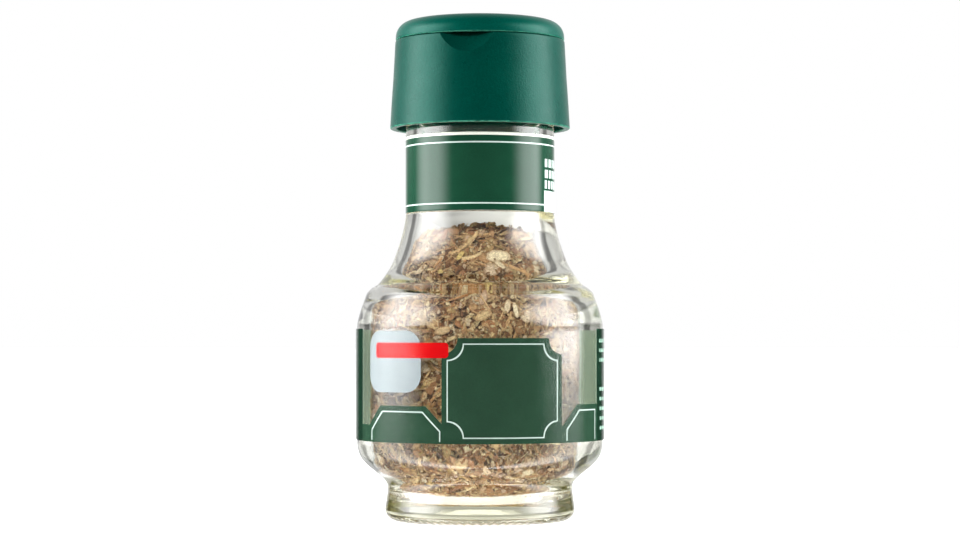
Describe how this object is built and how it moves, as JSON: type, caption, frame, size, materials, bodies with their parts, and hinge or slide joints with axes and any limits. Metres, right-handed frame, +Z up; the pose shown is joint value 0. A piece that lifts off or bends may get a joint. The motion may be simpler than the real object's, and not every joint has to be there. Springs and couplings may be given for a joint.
{
  "type": "spice jar of dried sage",
  "caption": "Clear glass spice jar filled with dried rubbed sage leaves, with a screw-on flip-top sprinkler closure and sleeve labels on its neck and belly.",
  "frame": {"origin": "centre of the jar's base, on the surface it stands on", "axes": "+Z up the jar, -Y the side of the closure's thumb notch, +Y the side of the lid's hinge, +X to the right of the notch seen from the front"},
  "size_m": [0.051, 0.051, 0.102],
  "materials": {
    "clear_glass": "clear, smooth, faint warm green tint",
    "dried_sage": "dry crushed leaf, tan to olive",
    "printed_film": "printed film, dark green on clear",
    "white_liner": "matt white",
    "green_plastic": "satin, fine spark texture"
  },
  "bodies": {
    "jar": {"jar": "clear_glass", "sage_fill": "dried_sage", "neck_label": "printed_film", "body_label": "printed_film"},
    "seal": {"seal_ring": "white_liner"},
    "closure": {"closure": "green_plastic", "hinge_web": "green_plastic"},
    "lid": {"lid": "green_plastic"}
  },
  "joints": [
    {"name": "closure_lift", "type": "slide", "parent": "jar", "child": "seal", "axis": [0, 0, 1], "range_m": [0, 0.0048]},
    {"name": "closure_twist", "type": "hinge", "parent": "seal", "child": "closure", "pos_m": [0, 0, 0.096], "axis": [0, 0, 1], "range_deg": [0, 540]},
    {"name": "lid_hinge", "type": "hinge", "parent": "closure", "child": "lid", "pos_m": [0, 0.01695, 0.09805], "axis": [-1, 0, 0], "range_deg": [0, 150], "deforming": ["hinge_web"]}
  ],
  "couplings": [
    {"joint": "closure_lift", "follows": "closure_twist", "m_per_rad": 0.00050532}
  ]
}
